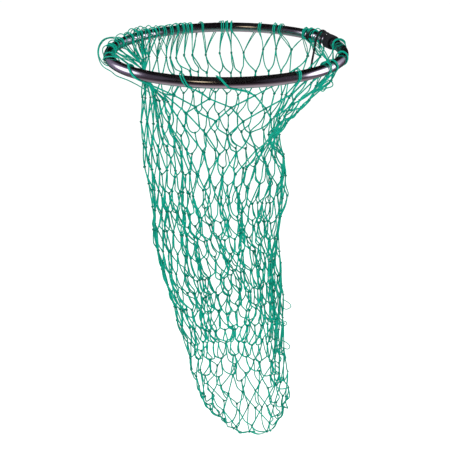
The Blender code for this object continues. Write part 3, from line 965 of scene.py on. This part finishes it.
def leg_of_loop(knot, top, along, bow):
    """The middle of a leg between a knot and the tube, bowed out to the knot's side as stiff twine stands."""
    aside = along * np.clip((knot - top) @ along * LOOP_BOW, -MOST_BOW, MOST_BOW)
    return (knot + top) / 2 + aside + bow


def loop_over(start, end, crossing, slant, lift, twine_radius, bow):
    """One strand from a knot up inside the tube, over it with a slack of lift, and down to a knot."""
    round_tube = []
    for turn in LOOP_TURNS:
        share = max(0.0, (LOOP_TOP - turn) / (LOOP_TOP - LOOP_TURNS[-1]))
        centre, along, out, up = on_hoop(crossing + slant * share)
        stand = TUBE_RADIUS + twine_radius + lift * max(0.0, math.sin(math.radians(turn)))
        way = out * math.cos(math.radians(turn)) + up * math.sin(math.radians(turn))
        round_tube.append(centre - HOOP_CENTRE + stand * way)
    up_leg = leg_of_loop(start, round_tube[0], along, bow[0])
    down_leg = leg_of_loop(end, round_tube[-1], along, bow[1])
    return smooth_line([start, up_leg, *round_tube, down_leg, end])


def hang_loops(knots, twine_radius, seed):
    """The top meshes' doubled loops, from each knot over the tube to the next one, and the loose loops."""
    chance = np.random.default_rng(seed)
    lines = []
    for column, (_, _, _, crossing) in enumerate(TOP_KNOTS):
        start, end = knots[0, column], knots[0, (column + 1) % COLUMNS]
        next_angle = TOP_KNOTS[(column + 1) % COLUMNS][0]
        slant = LOOP_SLANT * ((next_angle - crossing + 180) % 360 - 180)
        gap = chance.uniform(*LOOP_GAP) * MM
        for strand in (-0.5, 0.5):
            lift = chance.uniform(*LOOP_LIFT) * MM
            crossing_here = crossing + math.degrees(strand * gap / HOOP_RADIUS)
            bow = chance.normal(size=(2, 3)) * LOOP_WANDER
            lines.append(loop_over(start, end, crossing_here, slant, lift, twine_radius, bow))
    for column, crossing, lift in LOOSE_LOOPS:
        knot = knots[0, column]
        bow = chance.normal(size=(2, 3)) * LOOSE_WANDER
        slant = chance.normal() * LOOSE_SLANT
        lines.append(loop_over(knot, knot, crossing, slant, lift * MM, twine_radius, bow))
    return lines


def hang_lacing(knots):
    """The lacing that closes the bottom: a short hanging arc from each seam knot to the next."""
    front, _ = seam_pairs()
    laced = [knots[LAST, column] for column in front[LACED]]
    lines = []
    for start, end in zip(laced[:-1], laced[1:]):
        middle = (start + end) / 2 - np.array((0, 0, SEAM_SAG))
        lines.append(smooth_line((start, middle, end)))
        lines.append(smooth_line((start, middle + SECOND_LACING, end)))
    return lines


# Pieces


def hoop_with_weld():
    """The steel tube bent round and butt welded, with the weld ground down to a low bead."""
    settings = bpy.context.scene.net_hoop
    nothing_selected()
    bpy.ops.mesh.primitive_torus_add(
        major_segments=HOOP_SEGMENTS, minor_segments=TUBE_SEGMENTS, major_radius=HOOP_RADIUS,
        minor_radius=settings.tube_radius, location=tuple(HOOP_CENTRE), generate_uvs=True)
    hoop = bpy.context.object
    hoop.name = "steel_hoop"
    bpy.ops.object.transform_apply(location=True, rotation=True, scale=True)
    centre, along, _, _ = on_hoop(WELD_ANGLE)
    for offset in WELD_CUTS:
        bpy.ops.object.mode_set(mode="EDIT")
        bpy.ops.mesh.select_all(action="DESELECT")
        bpy.ops.object.mode_set(mode="OBJECT")
        for face in hoop.data.polygons:
            face.select = (face.center - Vector(centre)).length < WELD_CUT_REACH
        bpy.ops.object.mode_set(mode="EDIT")
        cut = centre + along * offset * WELD_WIDTH
        bpy.ops.mesh.bisect(plane_co=tuple(cut), plane_no=tuple(along))
    bpy.ops.mesh.select_all(action="DESELECT")
    bpy.ops.object.mode_set(mode="OBJECT")
    for vertex in hoop.data.vertices:
        offset = vertex.co - Vector(centre)
        vertex.select = offset.length < WELD_REACH and abs(offset.dot(Vector(along))) < WELD_CROWN
    bpy.ops.object.mode_set(mode="EDIT")
    bpy.ops.transform.shrink_fatten(value=WELD_RISE)
    bpy.ops.object.mode_set(mode="OBJECT")
    bpy.ops.object.shade_smooth()
    hoop.data.materials.clear()
    hoop.data.materials.append(polished_steel())
    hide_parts("hoop")
    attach(hoop, "root")
    return hoop


def ring_of_twine(radii, turned):
    """A ring of a few faces, with the radii of its round and of its twine, turned about X, Y and Z."""
    nothing_selected()
    bpy.ops.mesh.primitive_torus_add(
        major_segments=KNOT_SEGMENTS[0], minor_segments=KNOT_SEGMENTS[1], major_radius=radii[0],
        minor_radius=radii[1], rotation=[math.radians(angle) for angle in turned])
    return bpy.context.object


def one_knot():
    """A netting knot: an upright bight with another turn of twine tight round its middle."""
    bight = ring_of_twine(BIGHT_RADII, (90, 0, 0))
    bpy.ops.object.mode_set(mode="EDIT")
    bpy.ops.transform.resize(value=BIGHT_STRETCH)
    bpy.ops.object.mode_set(mode="OBJECT")
    bpy.ops.object.transform_apply(location=True, rotation=True, scale=True)
    round_turn = ring_of_twine(ROUND_TURN_RADII, (0, ROUND_TURN_LEAN, 0))
    bpy.ops.object.transform_apply(location=True, rotation=True, scale=True)
    bight.select_set(True)
    round_turn.select_set(True)
    bpy.context.view_layer.objects.active = bight
    bpy.ops.object.join()
    bight.name = "knot_master"
    return bight


def all_knots(meshes, material, size, seed):
    """One mesh of all the knots, each a copy of one knot, upright in the fabric and turned a little."""
    master = one_knot()
    shape = np.array([vertex.co for vertex in master.data.vertices]) * size
    faces = [tuple(face.vertices) for face in master.data.polygons]
    bpy.data.objects.remove(master)
    chance = np.random.default_rng(seed)
    points, all_faces = [], []
    done = set()
    for knots, bars in meshes:
        down, around = ways_at_knots(knots, bars)
        ends = np.vstack((bars[:, :2], bars[:, 2:4])).tolist()
        for level, column in sorted({tuple(end) for end in ends}):
            place = tuple(np.round(knots[level, column], SAME_PLACE_DECIMALS))
            if place in done:
                continue
            done.add(place)
            turn = chance.normal() * KNOT_TWIST
            side = around[level, column] * math.cos(turn)
            side = side + np.cross(down[level, column], around[level, column]) * math.sin(turn)
            face_out = np.cross(side, down[level, column])
            axes = np.stack((side, face_out, -down[level, column]))
            grown = chance.uniform(*KNOT_GROWTH)
            first = len(points) * len(shape)
            points.append(HOOP_CENTRE + knots[level, column] + grown * shape @ axes)
            all_faces += [tuple(first + k for k in face) for face in faces]
    corners = sum(len(face) for face in all_faces)
    corner_map = np.tile(KNOT_MAP, (corners // len(KNOT_MAP), 1))
    return new_object("net_knots", np.vstack(points), all_faces, corner_map, material)


def strands_of_net(lines, name, radius, material):
    """One mesh of twine along many lines."""
    cords = CordMesh()
    for line in lines:
        cords.add(HOOP_CENTRE + line, radius, TWINE_SIDES)
    return cords.make(name, material)


def line_beside_tube(places):
    """The cord's line through places beside the tube, from its centre at the knot."""
    return smooth_line([beside_tube(KNOT_PLACE, *place) for place in places])


def turns_on_tube(start, turns):
    """The line of cord wound on the hoop's tube."""
    radius = TUBE_RADIUS + CORD_RADIUS + CORD_CLEARANCE
    line = []
    for k in range(int(turns * TURN_POINTS) + 1):
        turn = k / TURN_POINTS
        centre, _, out, up = on_hoop(start + math.degrees(turn * TURN_PITCH / HOOP_RADIUS))
        round_tube = 2 * math.pi * turn - math.pi / 2
        line.append(centre + radius * (out * math.cos(round_tube) + up * math.sin(round_tube)))
    return line


# Operators


class NET_OT_stage(bpy.types.Operator):
    """Make the floor, the soft light and the camera"""

    bl_idname = "net.stage"
    bl_label = "Stage"

    def execute(self, context):
        self.make_camera()
        self.make_floor()
        for name, place, size, watts in SOFT_LIGHTS:
            self.make_light(name, place, size, watts)
        self.make_world(context.scene.net_stage.light)
        context.scene.view_settings.view_transform = "Standard"
        return {"FINISHED"}

    def make_camera(self):
        pitch, yaw, roll = (math.radians(a) for a in (CAMERA_PITCH, CAMERA_YAW, CAMERA_ROLL))
        ahead = Vector((-math.sin(yaw) * math.cos(pitch), math.cos(yaw) * math.cos(pitch), -math.sin(pitch)))
        right = ahead.cross(Vector((0, 0, 1))).normalized()
        up = right.cross(ahead)
        tilted_right = right * math.cos(roll) - up * math.sin(roll)
        tilted_up = right * math.sin(roll) + up * math.cos(roll)
        data = bpy.data.cameras.new("camera")
        data.lens = CAMERA_LENS
        data.sensor_width = CAMERA_SENSOR
        camera = bpy.data.objects.new("camera", data)
        camera.matrix_world = Matrix((tilted_right, tilted_up, -ahead)).transposed().to_4x4()
        camera.location = CAMERA_PLACE
        bpy.context.scene.collection.objects.link(camera)
        bpy.context.scene.camera = camera

    def make_floor(self):
        nothing_selected()
        bpy.ops.mesh.primitive_plane_add(size=FLOOR_SIZE, location=(0, 0, FLOOR_HEIGHT))
        floor = bpy.context.object
        floor.name = "floor"
        bpy.ops.object.transform_apply(location=True, rotation=True, scale=True)
        floor.data.materials.append(pale_floor())
        floor.visible_glossy = False

    def make_light(self, name, place, size, watts):
        data = bpy.data.lights.new(name, "AREA")
        data.energy = watts
        data.size = size
        light = bpy.data.objects.new(name, data)
        light.location = place
        aim = Vector(LIGHTS_AIM) - Vector(place)
        light.rotation_euler = aim.to_track_quat("-Z", "Y").to_euler()
        light.visible_camera = False
        light.visible_glossy = False
        bpy.context.scene.collection.objects.link(light)

    def make_world(self, strength):
        """Even white light, and for reflections a dark room with a white floor and soft lights in it."""
        world = bpy.data.worlds.new("studio")
        bpy.context.scene.world = world
        world.use_nodes = True
        tree = world.node_tree
        way = add_node(tree, "TexCoord", {}).outputs["Generated"]
        parts = add_node(tree, "SeparateXYZ", {"Vector": way})
        height = add_node(tree, "MapRange", {"Value": parts.outputs["Z"], "From Min": -1.0})
        room = add_node(tree, "ValToRGB", {"Fac": height.outputs[0]})
        stops = room.color_ramp.elements
        for k, (place, tint) in enumerate(ROOM_COLOURS):
            stop = stops[k] if k < 2 else stops.new(place)
            stop.position = place
            stop.color = tint
        colour = room.outputs["Color"]
        for towards, middle, edge, tint in REFLECTED_LIGHTS:
            near = add_node(tree, "VectorMath", {0: way, 1: Vector(towards).normalized()},
                            operation="DOT_PRODUCT").outputs["Value"]
            spot = add_node(tree, "MapRange", {
                "Value": near, "From Min": math.cos(math.radians(middle + edge)),
                "From Max": math.cos(math.radians(middle))}, interpolation_type="SMOOTHSTEP").outputs[0]
            lit = add_node(tree, "VectorMath", {0: tint, "Scale": spot}, operation="SCALE").outputs[0]
            colour = vector_maths(tree, "ADD", colour, lit)
        reflected = add_node(tree, "Background", {"Color": colour})
        even = add_node(tree, "Background", {"Color": (1, 1, 1, 1), "Strength": strength})
        ray = add_node(tree, "LightPath", {}).outputs["Is Glossy Ray"]
        choice = add_node(tree, "MixShader", {0: ray, 1: even.outputs[0], 2: reflected.outputs[0]})
        tree.links.new(choice.outputs[0], tree.nodes["World Output"].inputs["Surface"])


class NET_OT_long_end(bpy.types.Operator):
    """Make the black cord's long free end"""

    bl_idname = "net.long_end"
    bl_label = "Cord's long end"

    def execute(self, context):
        radius = context.scene.net_cord.cord_radius
        line = line_beside_tube(LONG_END)
        cord = CordMesh()
        cord.add(line, radius, CORD_SIDES)
        end = cord.make("cord_long_end", braided_cord())
        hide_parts("tie_long_end")
        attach(end, "root")
        return {"FINISHED"}


class NET_OT_hoop(bpy.types.Operator):
    """Make the polished steel hoop"""

    bl_idname = "net.hoop"
    bl_label = "Hoop"

    def execute(self, context):
        hoop_with_weld()
        return {"FINISHED"}


class NET_OT_bag(bpy.types.Operator):
    """Make the net bag: its strands, knots, hoop loops and bottom lacing"""

    bl_idname = "net.bag"
    bl_label = "Net bag"

    def execute(self, context):
        settings = context.scene.net_bag
        twine = laid_twine("net_twine", 1.0)
        # A darker copy of the twine for the knots: painted shade
        knot_twine_painted_shade = laid_twine("net_twine_knots_painted_shade", KNOT_PAINTED_SHADE)
        bars = bars_of_net()
        knots = hang_knots(settings.seed)
        shut = hang_shut_meshes(knots)
        bar_lines = [*hang_bars(knots, bars, settings.seed + BARS_SEED)]
        bar_lines += [*hang_bars(*shut, settings.seed + SHUT_SEED)]
        strands = strands_of_net(bar_lines, "net_strands", settings.twine_radius, twine)
        knots_seed = settings.seed + KNOTS_SEED
        knotted = all_knots(((knots, bars), shut), knot_twine_painted_shade, settings.knot_size, knots_seed)
        thin = settings.twine_radius * LOOP_THINNER
        edge_lines = hang_loops(knots, thin, settings.seed + LOOPS_SEED) + hang_lacing(knots)
        edge_lines += [smooth_line(np.array(points) * MM) for points in STRAY_TWINE]
        edges = strands_of_net(edge_lines, "hoop_loops", thin, twine)
        for piece in (strands, knotted, edges):
            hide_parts("net")
            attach(piece, "root")
        return {"FINISHED"}


class NET_OT_tied_cord(bpy.types.Operator):
    """Make the black cord's turns on the hoop, its knot and its short end"""

    bl_idname = "net.tied_cord"
    bl_label = "Tied cord"

    def execute(self, context):
        radius = context.scene.net_cord.cord_radius
        black = braided_cord()
        start = CordMesh()
        start.add(turns_on_tube(*START_TURNS), radius, CORD_SIDES)
        first_turns = start.make("cord_first_turns", black)
        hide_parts("tie_start")
        wound = CordMesh()
        wound.add(turns_on_tube(*MAIN_TURNS), radius, CORD_SIDES)
        for route in (KNOT_ROUTE, SHORT_END):
            wound.add(line_beside_tube(route), radius, CORD_SIDES)
        knotted_turns = wound.make("cord_turns_and_knot", black)
        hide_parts("tie")
        for piece in (first_turns, knotted_turns):
            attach(piece, "root")
        return {"FINISHED"}


class NET_PT_pieces(bpy.types.Panel):
    """The net's pieces"""

    bl_label = "Fishing Net"
    bl_idname = "NET_PT_pieces"
    bl_space_type = "VIEW_3D"
    bl_region_type = "UI"
    bl_category = "Fishing Net"

    def draw(self, context):
        scene = context.scene
        rows = (
            (NET_OT_stage, scene.net_stage, ("floor_colour", "light")),
            (NET_OT_long_end, scene.net_cord, ("cord_radius", "cord_colour")),
            (NET_OT_hoop, scene.net_hoop, ("tube_radius", "steel_colour", "steel_roughness")),
            (NET_OT_bag, scene.net_bag, ("twine_radius", "knot_size", "twine_colour", "seed")),
            (NET_OT_tied_cord, scene.net_cord, ()),
        )
        for operator, settings, names in rows:
            box = self.layout.box()
            for name in names:
                box.prop(settings, name)
            box.operator(operator.bl_idname)


SETTINGS = (
    ("net_stage", StageSettings),
    ("net_hoop", HoopSettings),
    ("net_bag", NetSettings),
    ("net_cord", CordSettings),
)
OPERATORS = (NET_OT_stage, NET_OT_long_end, NET_OT_hoop, NET_OT_bag, NET_OT_tied_cord)


def register():
    for name, kind in SETTINGS:
        bpy.utils.register_class(kind)
        setattr(bpy.types.Scene, name, bpy.props.PointerProperty(type=kind))
    for kind in (*OPERATORS, NET_PT_pieces):
        bpy.utils.register_class(kind)


def unregister():
    for kind in reversed((*OPERATORS, NET_PT_pieces)):
        bpy.utils.unregister_class(kind)
    for name, kind in reversed(SETTINGS):
        delattr(bpy.types.Scene, name)
        bpy.utils.unregister_class(kind)


def main():
    register()
    bpy.ops.net.stage()
    bpy.ops.net.long_end()
    bpy.ops.net.hoop()
    bpy.ops.net.bag()
    bpy.ops.net.tied_cord()
    nothing_selected()


if __name__ == "__main__":
    main()
